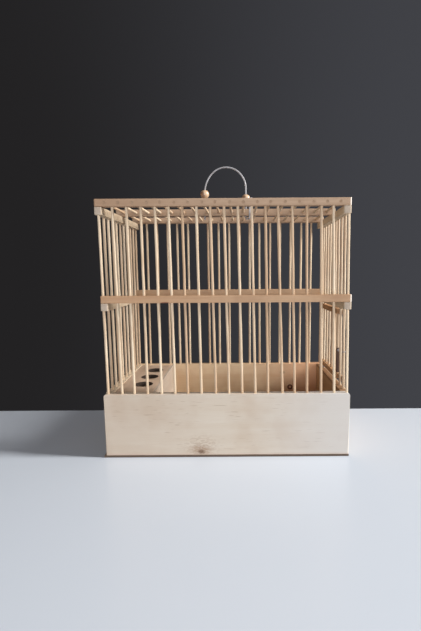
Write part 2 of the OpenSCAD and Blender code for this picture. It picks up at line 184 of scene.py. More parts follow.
def settle(name):
    """Names the new primitive and moves its place into its mesh."""
    piece = bpy.context.object
    piece.name = piece.data.name = name
    bpy.ops.object.transform_apply(location=True, rotation=True, scale=True)
    return piece


def block(name, low, high):
    """A cube primitive stretched from its lowest to its highest corner."""
    bpy.ops.object.select_all(action="DESELECT")
    low, high = Vector(low), Vector(high)
    bpy.ops.mesh.primitive_cube_add(size=1, location=(low + high) / 2, scale=high - low)
    return settle(name)


def saw(place, way, **settings):
    """Cuts all of the piece that is open in edit mode with one plane."""
    bpy.ops.mesh.select_all(action="SELECT")
    bpy.ops.mesh.bisect(plane_co=place, plane_no=way, **settings)


def modify(piece, kind, **settings):
    """Adds a modifier and applies it."""
    modifier = piece.modifiers.new(kind.lower(), kind)
    for name, value in settings.items():
        setattr(modifier, name, value)
    bpy.context.view_layer.objects.active = piece
    bpy.ops.object.modifier_apply(modifier=modifier.name)


def soften(piece, width, segments=2, angle=50):
    """Rounds the edges that turn by more than an angle in degrees."""
    modify(piece, "BEVEL", width=width, segments=segments, limit_method="ANGLE",
           angle_limit=math.radians(angle))


planing = bpy.data.textures.new("planing", "CLOUDS")
planing.noise_scale = 14 * MM


def work(piece, along, step=9 * MM, edge=0.5 * MM, wear=0.25 * MM):
    """Cuts rings along the grain, breaks the edges as sandpaper does and leaves the faces uneven."""
    ends = [v.co[along] for v in piece.data.vertices]
    low, high = min(ends), max(ends)
    count = max(2, round((high - low) / step))
    bpy.context.view_layer.objects.active = piece
    bpy.ops.object.mode_set(mode="EDIT")
    for i in range(1, count):
        place, way = Vector(), Vector()
        place[along], way[along] = low + (high - low) * i / count, 1.0
        saw(place, way)
    bpy.ops.object.mode_set(mode="OBJECT")
    soften(piece, edge, segments=3, angle=40)
    modify(piece, "DISPLACE", texture=planing, texture_coords="LOCAL", strength=wear, mid_level=1.0)


def smooth(piece, angle=38):
    """Smooth shading, with the edges that turn by more than an angle in degrees kept sharp."""
    bpy.ops.object.select_all(action="DESELECT")
    piece.select_set(True)
    bpy.context.view_layer.objects.active = piece
    bpy.ops.object.shade_smooth_by_angle(angle=math.radians(angle))
    modify(piece, "WEIGHTED_NORMAL", keep_sharp=True)


def fit(piece, finish, body, node):
    """Finishes a piece and puts it in the place of its CAD node."""
    piece.data.materials.clear()
    piece.data.materials.append(finish)
    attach(piece, body)
    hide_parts(node)


ply_low, ply_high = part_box("floor_panel")


def ply_layers(place, colour):
    """The raw edge: two thin pale skins round a dark core, with short streaks all round."""
    streaks = place.stretched((0.3, 0.3, 1.0)).noise(1500.0)
    colour = (streaks * 0.5).between(colour, paint(118, 96, 78))
    height, skin, soft = place.part(Z), PLY_SKIN, 0.2 * MM
    core = (height.span(ply_low.z + skin, ply_low.z + skin + soft)
            * height.span(ply_high.z - skin, ply_high.z - skin - soft))
    return (core * 0.8).between(colour, paint(88, 74, 64))


ply_floor = block("ply_floor", ply_low, ply_high)
work(ply_floor, X, step=14 * MM, edge=0.3 * MM, wear=0.15 * MM)
smooth(ply_floor)
ply_brown = wood("ply_brown", X, paint(144, 122, 102), paint(114, 92, 74), paint(90, 72, 58),
                 figure=50.0, marks=ply_layers)
fit(ply_floor, ply_brown, "cage", "floor_panel")

# ---- Brads ----
# Twelve round wire brads, driven up through the ply into the edges of the boards until their heads sank
# flush. Plain bright steel that has since gone brown. The solids are right, so they only get their finish.


def iron(name, bright, dull, rough, metal, patches=700.0):
    """Bare metal with brown and worn places, finer where patches is greater."""
    material, new = new_finish(name)
    place = new.node("TexCoord", out="Object")
    patch = place.noise(patches, detail=3.0, rough=0.6).span(0.4, 0.66)
    fine = place.noise(3800.0, rough=0.6)
    colour = (patch * 0.75 + fine * 0.2).between(bright, dull)
    bumps = place.node("Bump", None, {"Strength": 0.1, "Distance": 0.02 * MM,
                                      "Height": fine + patch * 0.5})
    surface(new, colour, rough + patch * 0.2, bumps, Metallic=metal)
    return material


rusty_steel = iron("rusty_steel", paint(96, 86, 78), paint(70, 46, 32), rough=0.5, metal=0.7)
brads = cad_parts["floor_brads"]
brads.data.materials.clear()
brads.data.materials.append(rusty_steel)

# ---- Boards of the box ----
# Four planed boards, the long two lapping over the ends of the short two. Their upper edges are drilled
# for the sticks. The front board has a small knot near its foot, faint streaks and worn upper corners.

BOARD_CORNER = 3 * MM
BOARD_EDGE = 1.6 * MM
STICK_HOLE = 1.62 * MM
NEAR = 0.1 * MM
KNOT_X = -30 * MM


def stick_ends(node):
    """Both ends of each stick in a CAD row, lower or front end first, from the left and from the front."""
    bpy.ops.object.select_all(action="DESELECT")
    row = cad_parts[node].copy()
    row.data = row.data.copy()
    bpy.context.collection.objects.link(row)
    row.select_set(True)
    bpy.context.view_layer.objects.active = row
    bpy.ops.object.mode_set(mode="EDIT")
    bpy.ops.mesh.select_all(action="SELECT")
    bpy.ops.mesh.remove_doubles(threshold=0.01 * MM)
    bpy.ops.mesh.separate(type="LOOSE")
    bpy.ops.object.mode_set(mode="OBJECT")
    found, tip = [], 0.5 * MM
    for shell in list(bpy.context.selected_objects):
        points = [v.co.copy() for v in shell.data.vertices]
        along = max((X, Y, Z), key=lambda a: max(p[a] for p in points) - min(p[a] for p in points))
        low, high = min(p[along] for p in points), max(p[along] for p in points)
        first = [p for p in points if p[along] < low + tip]
        last = [p for p in points if p[along] > high - tip]
        found.append((sum(first, Vector()) / len(first), sum(last, Vector()) / len(last)))
        bpy.data.objects.remove(shell)
    return sorted(found, key=lambda ends: (round(ends[0].x, 3), round(ends[0].y, 3)))


rows = {name: stick_ends(name) for name in
        ("corner_sticks", "front_sticks", "back_sticks", "left_sticks", "right_sticks",
         "right_upper_sticks", "roof_sticks", "door_post", "door_sticks")}
corner_row = rows["corner_sticks"]
left_corners, right_corners = corner_row[:2], corner_row[2:]


def drill(piece, lines, radius=STICK_HOLE, sides=20, further=NEAR):
    """Bores a round hole along each line, a little past both of its ends."""
    bits = []
    for first, last in lines:
        way = last - first
        bpy.ops.object.select_all(action="DESELECT")
        bpy.ops.mesh.primitive_cylinder_add(
            vertices=sides, radius=radius, depth=way.length + 2 * further, location=(first + last) / 2,
            rotation=way.to_track_quat("Z", "Y").to_euler())
        bits.append(bpy.context.object)
    for bit in bits:
        bit.select_set(True)
    if len(bits) > 1:
        bpy.ops.object.join()
    bit = bpy.context.object
    modify(piece, "BOOLEAN", operation="DIFFERENCE", solver="EXACT", object=bit)
    bpy.data.objects.remove(bit)


def pick(piece, kind, test):
    """Opens a piece in edit mode with only those of its edges or faces selected that pass the test."""
    bpy.context.view_layer.objects.active = piece
    bpy.ops.object.mode_set(mode="EDIT")
    bpy.ops.mesh.select_mode(type=kind)
    bpy.ops.mesh.select_all(action="DESELECT")
    bpy.ops.object.mode_set(mode="OBJECT")
    mesh = piece.data
    for part in mesh.edges if kind == "EDGE" else mesh.polygons:
        part.select = test([mesh.vertices[i].co for i in part.vertices])
    bpy.ops.object.mode_set(mode="EDIT")


def board(name, node, along, lines, finish, worn_corners=False):
    """A board in its CAD node's box, drilled for the sticks. The long ones have worn upper corners."""
    low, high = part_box(node)
    piece = block(name, low, high)
    if worn_corners:
        pick(piece, "EDGE", lambda c: all(p.z > high.z - MM for p in c) and abs(c[0].x - c[1].x) < MM)
        bpy.ops.mesh.bevel(offset=BOARD_CORNER, segments=5, affect="EDGES")
        pick(piece, "EDGE", lambda c: abs(c[0].z - c[1].z) > (high.z - low.z) / 2)
        bpy.ops.mesh.bevel(offset=BOARD_EDGE, segments=4, affect="EDGES")
        bpy.ops.object.mode_set(mode="OBJECT")
    work(piece, along)
    drill(piece, lines)
    smooth(piece)
    fit(piece, finish, "cage", node)


front_low, front_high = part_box("front_board")


def front_marks(place, colour):
    """The knot and its clouds, short dark streaks, a left darker in tone and painted shade, painted light
    at the right, a warm foot.
    """
    swirl = place.stretched((0.45, 1.0, 1.0)).noise(230.0, detail=4.0, rough=0.7, twist=1.8)

    def at_knot(height, wide, tall, low, high):
        """A patch of the swirl round the knot's place on the outer face."""
        patch = place.round_spot((KNOT_X, front_low.y, height), (wide, 30 * MM, tall))
        return patch * swirl.span(low, high)

    wisps = at_knot(13 * MM, 30 * MM, 20 * MM, 0.45, 0.6)
    colour = (wisps * 0.6).between(colour, paint(172, 142, 116))
    cloud = at_knot(8 * MM, 19 * MM, 11 * MM, 0.22, 0.56)
    colour = (cloud.span(0.0, 0.8) * 0.6).between(colour, paint(168, 138, 114))
    knot = at_knot(6 * MM, 6.5 * MM, 4.5 * MM, 0.2, 0.56)
    colour = (knot.span(0.0, 0.7) * 0.85).between(colour, paint(116, 86, 64))
    dash = place.stretched((0.08, 1.0, 1.0)).noise(760.0, detail=1.0).span(0.64, 0.74)
    colour = (dash * place.noise(24.0).span(0.42, 0.56) * 0.55).between(colour, paint(166, 138, 108))
    # The left is darker partly in the board's own tone and partly in painted shade, away from the window.
    patchy_tone_and_shade = place.noise(26.0, detail=3.0).span(0.3, 0.75) * 0.6 + 0.4
    left = place.part(X).span(0.0, -145 * MM) * patchy_tone_and_shade
    colour = (left * 0.6).between(colour, paint(192, 166, 142))
    # Painted light: the face grows lighter towards the window at the right, stopping short of the end.
    off_the_end = place.part(X).span(front_high.x - 0.1 * MM, front_high.x - 0.6 * MM)
    right = place.part(X).span(10 * MM, 135 * MM) * off_the_end
    colour = (right * 0.7).between(colour, paint(217, 213, 209))
    foot = place.part(Z).span(6 * MM, 2.5 * MM)
    return (foot * 0.45).between(colour, paint(216, 186, 164))


def back_marks(place, colour):
    """The inner face, darker and redder towards the right in painted shade, with one small dark spot."""
    # Painted shade: the right of the inner face lies in the shadow of the right board.
    right = place.part(X).span(20 * MM, 135 * MM)
    colour = (right * 0.55).between(colour, paint(226, 148, 100))
    inner_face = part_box("back_board")[0].y
    spot = place.round_spot((80 * MM, inner_face, 61 * MM), (5 * MM, 8 * MM, 3.4 * MM))
    return (spot * 0.8).between(colour, paint(96, 66, 46))


def right_marks(place, colour):
    """A pale weathered outer face, and painted shade on the upper edge, where the door's bars and sticks
    shade it.
    """
    outer = place.part(X).span(137 * MM, 139 * MM)
    colour = (outer * 0.6).between(colour, paint(196, 174, 150))
    # Painted shade: the upper edge darkens, in patches, where the bars and sticks cast their shade.
    top = place.part(Z).span(70 * MM, 74 * MM) * (1 - outer)
    return (top * (place.noise(60.0).span(0.2, 0.6) * 0.3 + 0.5)).between(colour, paint(128, 90, 60))


front_pine = wood("front_pine", X, paint(219, 207, 191), paint(207, 187, 164), paint(196, 172, 148),
                  figure=55.0, depth=0.5, marks=front_marks)
board("box_front", "front_board", X, rows["front_sticks"] + corner_row, front_pine, worn_corners=True)
back_pine = wood("back_pine", X, paint(241, 214, 178), paint(224, 184, 142), paint(206, 160, 116),
                 figure=55.0, marks=back_marks)
board("box_back", "back_board", X, rows["back_sticks"] + corner_row, back_pine, worn_corners=True)
left_pine = wood("left_pine", Y, paint(230, 212, 186), paint(212, 188, 158), paint(190, 160, 130),
                 figure=60.0)
board("box_left", "left_board", Y, rows["left_sticks"], left_pine)
# Painted shade: this board's wood is darker than the left one's, for an inner face the window can't reach.
right_pine_shaded = wood("right_pine_shaded", Y, paint(190, 156, 118), paint(170, 130, 90), paint(146, 106, 74),
                  figure=60.0, marks=right_marks)
board("box_right", "right_board", Y, rows["right_sticks"] + rows["door_post"], right_pine_shaded)

# ---- Middle battens ----
# Square sawn battens of a warmer wood. The two at the sides run from front to back, and the front and the
# back one lie across their ends, all threaded onto the corner sticks. A small brown chip sits at the front.

BATTEN_CORNER = 1.5 * MM


def batten(name, node, along, lines, finish, shift=0.0, wires=()):
    """A batten in its CAD node's box, drilled for sticks and wires. A shift moves its front end sideways.

    The box of a shifted one is wider by the shift, which is taken off its left before the end is moved.
    """
    low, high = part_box(node)
    if shift:
        low.x -= min(shift, 0)
    piece = block(name, low, high)
    if shift:
        pick(piece, "FACE", lambda c: all(p.y < low.y + MM for p in c))
        bpy.ops.transform.translate(value=(shift, 0, 0))
        bpy.ops.object.mode_set(mode="OBJECT")
    pick(piece, "EDGE", lambda c: abs(c[0].z - c[1].z) > MM)
    bpy.ops.mesh.bevel(offset=BATTEN_CORNER, segments=3, affect="EDGES")
    bpy.ops.object.mode_set(mode="OBJECT")
    work(piece, along, step=8 * MM, edge=0.6 * MM, wear=0.35 * MM)
    drill(piece, lines)
    if wires:
        drill(piece, wires, WIRE_HOLE, sides=18, further=MM)
    smooth(piece)
    fit(piece, finish, "cage", node)


# Painted highlight: the near white of the window light caught on the worn front right edges.
highlight_white = paint(244, 234, 222)


def lit_edge(place, node):
    """A mask of a batten's front right edge, for the painted highlight of window light on its worn bevel.
    """
    low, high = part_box(node)
    near = place.part(X).span(high.x - 2 * MM, high.x - 1.2 * MM)
    return near * place.part(Y).span(low.y + 2.4 * MM, low.y + 1.6 * MM) * 0.85


def middle_front_marks(place, colour):
    """Browner towards the left, with a chip of bark under the lower edge and a painted highlight at the
    right corner.
    """
    left = place.part(X).span(60 * MM, -120 * MM)
    colour = (left * 0.3).between(colour, paint(186, 138, 98))
    chip = place.round_spot((-67.5 * MM, front_low.y, 178.5 * MM), (7 * MM, 4 * MM, 1.6 * MM))
    colour = (chip.span(0.1, 0.4) * 0.8).between(colour, paint(140, 84, 58))
    return lit_edge(place, "middle_front_rail").between(colour, highlight_white)


side_batten = wood("side_batten", Y, paint(215, 196, 168), paint(190, 165, 137), paint(162, 132, 104),
                   figure=110.0, end=0.85, cut=paint(171, 155, 143))
batten("batten_middle_left", "middle_left_rail", Y, rows["left_sticks"] + left_corners, side_batten)
batten("batten_middle_right", "middle_right_rail", Y,
       rows["right_sticks"] + rows["right_upper_sticks"] + rows["door_post"] + right_corners, side_batten)

tan = dict(pale=paint(199, 163, 129), deep=paint(174, 131, 95), worn=paint(150, 108, 77), figure=110.0)
batten("batten_middle_front", "middle_front_rail", X, rows["front_sticks"] + corner_row,
       wood("front_batten", X, marks=middle_front_marks, **tan))
batten("batten_middle_back", "middle_back_rail", X, rows["back_sticks"] + corner_row,
       wood("cross_batten", X, **tan))

# ---- Top battens ----
# The same battens again round the top, with a third one across the middle that carries the handle. The
# front ends have leaned to the left, so the side ones run askew. The three cross battens are drilled right
# through for the roof's sticks, whose ends show as a row of dots.

LEAN = 2.5 * MM
WIRE_HOLE = 1.15 * MM
ROOF_HOLE_SPARE = 0.02


def top_front_marks(place, colour):
    """Browner at the left, with a painted highlight on the corner at the right."""
    left = place.part(X).span(20 * MM, -138 * MM)
    colour = (left * 0.6).between(colour, paint(166, 130, 100))
    return lit_edge(place, "top_front_rail").between(colour, highlight_white)


def upright(x, y, low, high):
    """A vertical line, as its two ends."""
    return Vector((x, y, low)), Vector((x, y, high))


batten("batten_top_left", "top_left_rail", Y, rows["left_sticks"] + left_corners, side_batten, -LEAN)
batten("batten_top_right", "top_right_rail", Y,
       rows["right_sticks"] + rows["right_upper_sticks"] + right_corners, side_batten, -LEAN)

top_tan = dict(pale=paint(190, 160, 133), deep=paint(162, 130, 102), worn=paint(139, 108, 84), figure=120.0)
top_batten = wood("top_batten", X, **top_tan)
through = [(first + (first - last) * ROOF_HOLE_SPARE, last + (last - first) * ROOF_HOLE_SPARE)
           for first, last in rows["roof_sticks"]]
batten("batten_top_front", "top_front_rail", X, rows["front_sticks"] + corner_row + through,
       wood("top_front_batten", X, marks=top_front_marks, **top_tan))
batten("batten_top_back", "top_back_rail", X, rows["back_sticks"] + corner_row + through, top_batten)

bead_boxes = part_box("handle_left_bead"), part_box("handle_right_bead")
leg_places = [(low + high) / 2 for low, high in bead_boxes]
rail_low, rail_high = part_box("top_middle_rail")
leg_holes = [upright(leg.x, leg.y, rail_low.z, rail_high.z) for leg in leg_places]
side_pins = [ends for ends in rows["left_sticks"] + rows["right_sticks"] if ends[1].z > rail_low.z]
batten("batten_top_middle", "top_middle_rail", X, side_pins + through, top_batten, wires=leg_holes)

# ---- Sticks ----
# Some seventy round sticks, drawn from split wood and glued into their holes: corner pins through both
# frames, a row in each wall, short ones over the door, and the roof's row from the front to the back.

STICK = 1.5 * MM
STICK_SIDES = 12
STICK_RINGS = 12
MODEL_LENGTH = 100 * MM
STRAY = 0.1 * MM
SWELL = 0.05
straw = dict(pale=paint(233, 215, 188), deep=paint(205, 172, 137), worn=paint(186, 150, 116), figure=430.0,
             depth=0.85, rough=0.5, each=True)


def roof_tip_shade(place, colour):
    """The cut ends, sunk a little in the battens, with painted shade where the holes hide them."""
    return (abs(place.part(Y)).span(76.4 * MM, 77 * MM) * 0.75).between(colour, paint(152, 118, 90))


upright_straw = wood("upright_straw", Z, **straw)
level_straw = wood("level_straw", Y, marks=roof_tip_shade, **straw)

# Every uneven measure and turn of a stick is drawn from here, in the same order each time.
hand = random.Random(11)


def whittle(name, radius):
    """One stick to copy, standing on the origin: drawn round, never quite even and never quite straight."""
    bpy.ops.object.select_all(action="DESELECT")
    bpy.ops.mesh.primitive_cylinder_add(vertices=STICK_SIDES, radius=radius, depth=MODEL_LENGTH,
                                        location=(0, 0, MODEL_LENGTH / 2))
    piece = settle(name)
    heights = [MODEL_LENGTH * i / STICK_RINGS for i in range(1, STICK_RINGS)]
    bpy.ops.object.mode_set(mode="EDIT")
    for height in heights:
        saw((0, 0, height), (0, 0, 1))
    for height in heights:
        pick(piece, "EDGE", lambda c: all(abs(p.z - height) < NEAR for p in c))
        bpy.ops.transform.translate(value=(hand.uniform(-STRAY, STRAY), hand.uniform(-STRAY, STRAY), 0))
        swell = hand.uniform(1 - SWELL, 1 + SWELL)
        bpy.ops.transform.resize(value=(swell, swell, 1), center_override=(0, 0, height))
    bpy.ops.object.mode_set(mode="OBJECT")
    bpy.ops.object.shade_smooth_by_angle(angle=math.radians(50))
    return piece


def lay_row(name, model, ends, finish, body, node):
    """Copies of the model stick along each line, each turned about itself and with its own tone."""
    copies = []
    for first, last in ends:
        piece = model.copy()
        piece.data = model.data.copy()
        bpy.context.collection.objects.link(piece)
        if hand.random() < 0.5:
            first, last = last, first
        way = last - first
        turn = Matrix.Rotation(hand.uniform(0, 2 * math.pi), 4, "Z")
        stretch = Matrix.Diagonal((1, 1, way.length / MODEL_LENGTH, 1))
        lay = way.to_track_quat("Z", "Y").to_matrix().to_4x4()
        piece.matrix_world = Matrix.Translation(first) @ lay @ turn @ stretch
        tone = piece.data.attributes.new("tone", "FLOAT", "POINT")
        tone.data.foreach_set("value", [hand.random() ** 2] * len(piece.data.vertices))
        copies.append(piece)
    bpy.ops.object.select_all(action="DESELECT")
    for piece in copies:
        piece.select_set(True)
    bpy.context.view_layer.objects.active = copies[0]
    if len(copies) > 1:
        bpy.ops.object.join()
    fit(settle(name), finish, body, node)


model_stick = whittle("model_stick", STICK)
for wall in ("corner", "front", "back", "left", "right", "right_upper"):
    node = f"{wall}_sticks"
    lay_row(f"{wall}_stick_row", model_stick, rows[node], upright_straw, "cage", node)
lay_row("roof_stick_row", model_stick, rows["roof_sticks"], level_straw, "cage", "roof_sticks")

# ---- Feeder ----
# A short shelf let in between the front and the back board at the left end, with three bored holes for
# seed and water cups, and an upright board that closes its side. Both are thin, and browned by damp.

CUP_X = -105 * MM
CUP_ROWS = [-32 * MM, 3 * MM, 38 * MM]
CUP_HOLE = 11 * MM
CUP_STAIN = 17 * MM
shelf_low, shelf_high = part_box("feeder_board")


def cup_stains_and_hole_shade(place, colour):
    """Dark rings where the cups' rims sat, and painted shade in the holes, whose walls are painted near
    black.
    """
    for y in CUP_ROWS:
        centre = (CUP_X, y, shelf_high.z)
        ring = place.round_spot(centre, (CUP_STAIN, CUP_STAIN, 30 * MM)).span(0.1, 0.4)
        colour = (ring * 0.35).between(colour, paint(140, 110, 90))
        # Painted shade: the walls of the holes are painted near black, as the inside of a hole lies in
        # shade.
        wall = place.round_spot(centre, (CUP_HOLE + 2 * MM, CUP_HOLE + 2 * MM, 1.0)).span(0.036, 0.06)
        colour = (wall * 0.95).between(colour, paint(52, 38, 30))
    return colour


feeder_shelf = block("feeder_shelf", shelf_low, shelf_high)
work(feeder_shelf, Y, step=12 * MM, edge=0.4 * MM)
cup_lines = [upright(CUP_X, y, shelf_low.z, shelf_high.z) for y in CUP_ROWS]
drill(feeder_shelf, cup_lines, CUP_HOLE, sides=48, further=MM)
smooth(feeder_shelf)
shelf_brown = wood("shelf_brown", Y, paint(208, 182, 158), paint(188, 158, 134), paint(162, 132, 108),
                   figure=80.0, marks=cup_stains_and_hole_shade)
fit(feeder_shelf, shelf_brown, "cage", "feeder_board")

feeder_side = block("feeder_side", *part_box("feeder_partition"))
work(feeder_side, Y, step=12 * MM, edge=0.4 * MM)
smooth(feeder_side)
partition_pink = wood("partition_pink", Y, paint(206, 189, 171), paint(190, 168, 148), paint(170, 144, 122),
                      figure=80.0)
fit(feeder_side, partition_pink, "cage", "feeder_partition")

# ---- Door ----
# A panel of two bars with sticks glued between them. It turns on a wall stick of its own, the post, and a
# coil of fine wire wound round the post carries it. Both bars lap past the next wall stick, outside it.

BAR_NOSE_PAST = 4.5 * MM
LAP_GAP = 1.8 * MM
WELL_PAST = 100 * MM
STILE_PLAY = 0.1 * MM
FINE_WIRE = 0.45 * MM
COIL_SIDES = 10
COIL_STEPS = 20
COLLAR_GAP = 0.08 * MM
COLLAR_TURNS = 5
QUARTER = math.pi / 2
lay_row("door_post_stick", model_stick, rows["door_post"], upright_straw, "cage", "door_post")
lay_row("door_stick_row", model_stick, rows["door_sticks"], upright_straw, "door", "door_sticks")
post_at = rows["door_post"][0][0]
stile_low, stile_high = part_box("door_stile")
stile_at = (stile_low + stile_high) / 2
stile_radius = (stile_high.y - stile_low.y) / 2
stile_ends = [upright(stile_at.x, stile_at.y, stile_low.z, stile_high.z)]
# Painted shade: the bars' wood is painted darker, for bars that lie in the shadow of the right wall.
door_tan = wood("door_bar_wood", Y, paint(190, 148, 108), paint(162, 118, 80), paint(130, 90, 60),
                figure=120.0)


def door_bar(name, node):
    """A bar that is drilled for the post, the sticks and the stile, with a thin lap sawn past its nose."""
    low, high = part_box(node)
    nose = stile_at.y - BAR_NOSE_PAST
    split = stile_at.x + LAP_GAP
    piece = block(name, (low.x, nose, low.z), high)
    bpy.ops.object.mode_set(mode="EDIT")
    saw((split, 0, 0), (1, 0, 0))
    pick(piece, "FACE", lambda c: all(p.y < nose + NEAR and p.x > split - NEAR for p in c))
    bpy.ops.mesh.extrude_region_move(TRANSFORM_OT_translate={"value": (0, low.y - nose, 0)})
    bpy.ops.object.mode_set(mode="OBJECT")
    work(piece, Y, step=7 * MM, edge=0.4 * MM, wear=0.15 * MM)
    post_line = upright(post_at.x, post_at.y, post_at.z, high.z + WELL_PAST)
    drill(piece, rows["door_sticks"] + [post_line])
    drill(piece, stile_ends, stile_radius + STILE_PLAY, sides=24)
    smooth(piece)
    fit(piece, door_tan, "door", node)


door_bar("door_bar_upper", "door_upper_bar")
door_bar("door_bar_lower", "door_lower_bar")

model_stile = whittle("model_stile", stile_radius)
lay_row("door_stile_stick", model_stile, stile_ends, upright_straw, "door", "door_stile")
for model in (model_stick, model_stile):
    bpy.data.objects.remove(model)

steel_wire = iron("steel_wire", paint(178, 177, 181), paint(156, 152, 152), rough=0.5, metal=0.3,
                  patches=120.0)


def close_wire():
    """Caps both ends of the wire that is open in edit mode, and turns its faces outwards."""
    bpy.ops.mesh.select_all(action="SELECT")
    bpy.ops.mesh.fill_holes(sides=0)
    bpy.ops.mesh.normals_make_consistent(inside=False)
    bpy.ops.object.mode_set(mode="OBJECT")


def coil(name, foot, gap, turns, rise):
    """Fine wire wound up a stick with a gap between them: a circle taken round and up by a screw."""
    bpy.ops.object.select_all(action="DESELECT")
    bpy.ops.mesh.primitive_circle_add(vertices=COIL_SIDES, radius=FINE_WIRE, rotation=(QUARTER, 0, 0),
                                      location=(STICK + gap + FINE_WIRE, 0, 0))
    piece = settle(name)
    modify(piece, "SCREW", axis="Z", angle=turns * 2 * math.pi, screw_offset=rise,
           steps=round(COIL_STEPS * turns), use_merge_vertices=True, merge_threshold=0.001 * MM)
    bpy.ops.object.mode_set(mode="EDIT")
    close_wire()
    piece.location = foot
    bpy.ops.object.transform_apply(location=True, rotation=True, scale=True)
    bpy.ops.object.shade_smooth_by_angle(angle=math.radians(60))
    return piece


collar_low, collar_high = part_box("door_collar")
collar_foot = Vector((post_at.x, post_at.y, collar_low.z + FINE_WIRE))
collar_rise = collar_high.z - collar_low.z - 2 * FINE_WIRE
collar = coil("door_collar_coil", collar_foot, COLLAR_GAP, COLLAR_TURNS, collar_rise)
fit(collar, steel_wire, "cage", "door_collar")

# ---- Turn button ----
# A narrow strip of dark wood with round ends, rubbed round along its sides. It hangs in front of the stile
# from a wire pin with a flat head, and is turned out to pull the door open.

PIN = 0.7 * MM
PIN_HOLE = 0.78 * MM
PIN_HEAD = 1.7 * MM
PIN_HEAD_DEEP = 0.8 * MM
STRIP_END_FLAT = 0.15 * MM
STRIP_EDGE = 0.8 * MM
pin_low, pin_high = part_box("button_pin")
pin_at = (pin_low + pin_high) / 2
button_low, button_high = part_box("door_button")
turn_button = block("turn_button", button_low, button_high)
pick(turn_button, "EDGE", lambda c: abs(c[0].y - c[1].y) > MM)
end_round = (button_high.x - button_low.x) / 2 - STRIP_END_FLAT
bpy.ops.mesh.bevel(offset=end_round, segments=6, affect="EDGES")
bpy.ops.object.mode_set(mode="OBJECT")
soften(turn_button, STRIP_EDGE, segments=3)
button_bore = (Vector((pin_at.x, button_low.y, pin_at.z)), Vector((pin_at.x, button_high.y, pin_at.z)))
drill(turn_button, [button_bore], PIN_HOLE, sides=18, further=MM)
smooth(turn_button)
dark_strip = wood("dark_strip", Z, paint(92, 66, 56), paint(64, 42, 34), paint(46, 32, 27),
                  figure=160.0, rough=0.42)
fit(turn_button, dark_strip, "button", "door_button")

head_back = pin_low.y + PIN_HEAD_DEEP
bpy.ops.object.select_all(action="DESELECT")
bpy.ops.mesh.primitive_cylinder_add(vertices=16, radius=PIN, depth=pin_high.y - pin_low.y,
                                    location=pin_at, rotation=(QUARTER, 0, 0))
wire_pin = settle("wire_pin")
bpy.ops.object.mode_set(mode="EDIT")
saw((0, head_back, 0), (0, 1, 0))
pick(wire_pin, "FACE", lambda c: all(p.y < head_back + NEAR for p in c) and len(c) == 4)
bpy.ops.mesh.extrude_region_shrink_fatten(TRANSFORM_OT_shrink_fatten={"value": PIN_HEAD - PIN})
bpy.ops.object.mode_set(mode="OBJECT")
soften(wire_pin, width=0.2 * MM)
smooth(wire_pin)
fit(wire_pin, steel_wire, "door", "button_pin")

# ---- Handle ----
# One length of steel wire: an arch over two straight legs that run down through the middle top batten. The
# left foot is bent forward under it. The right one comes forward, up again and ends in a small curl.

WIRE = 1.0 * MM
BEND = 2.4 * MM
LEFT_FOOT = 3.6 * MM
TAIL_TURN = math.radians(37)
TAIL_REACH = 7.56 * MM
TAIL_BELOW_BEAD = 3.2 * MM
CURL = 3.0 * MM
SHOULDER = math.radians(45)
BOW_TIGHT, BOW_SKEW = 2 * MM, 4 * MM
LEG_STRAIGHT = 20 * MM
up, across, away = Vector((0, 0, 1)), Vector((1, 0, 0)), Vector((0, 1, 0))
forward = Vector((math.sin(TAIL_TURN), -math.cos(TAIL_TURN), 0))
aside = Vector((math.cos(TAIL_TURN), math.sin(TAIL_TURN), 0))
left_leg, right_leg = leg_places
leg_y = left_leg.y
foot_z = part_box("handle_wire")[0].z + WIRE
bend_z = foot_z + BEND
tail_top = right_leg.z - TAIL_BELOW_BEAD
tail = Vector((right_leg.x, leg_y, 0)) + forward * TAIL_REACH

# The bow is three arcs that run into each other: a tight one over the top between two wider ones. The skew
# widens the left one and tightens the right one, which therefore meets its leg a little higher up.
bow_base = rail_high.z + LEG_STRAIGHT
bow = (right_leg.x - left_leg.x) / 2
sin_s, cos_s = math.sin(SHOULDER), math.cos(SHOULDER)
top_radius = bow - BOW_TIGHT
side_radius = bow + BOW_TIGHT * cos_s / (1 - cos_s)
left_radius, right_radius = side_radius + BOW_SKEW, side_radius - BOW_SKEW
left_centre = Vector((left_leg.x + left_radius, leg_y, bow_base))
top_centre = left_centre + (left_radius - top_radius) * Vector((-cos_s, 0, sin_s))
right_centre = top_centre + (top_radius - right_radius) * Vector((cos_s, 0, sin_s))


def run_wire(way, length):
    """Draws the selected end of the wire out in a straight line."""
    bpy.ops.mesh.extrude_region_move(TRANSFORM_OT_translate={"value": way * length})


def bend_wire(centre, axis, angle, steps):
    """Takes the selected end of the wire round a bend. Spin turns against its axis, hence the minus."""
    bpy.ops.mesh.spin(steps=steps, angle=-angle, center=centre, axis=axis)


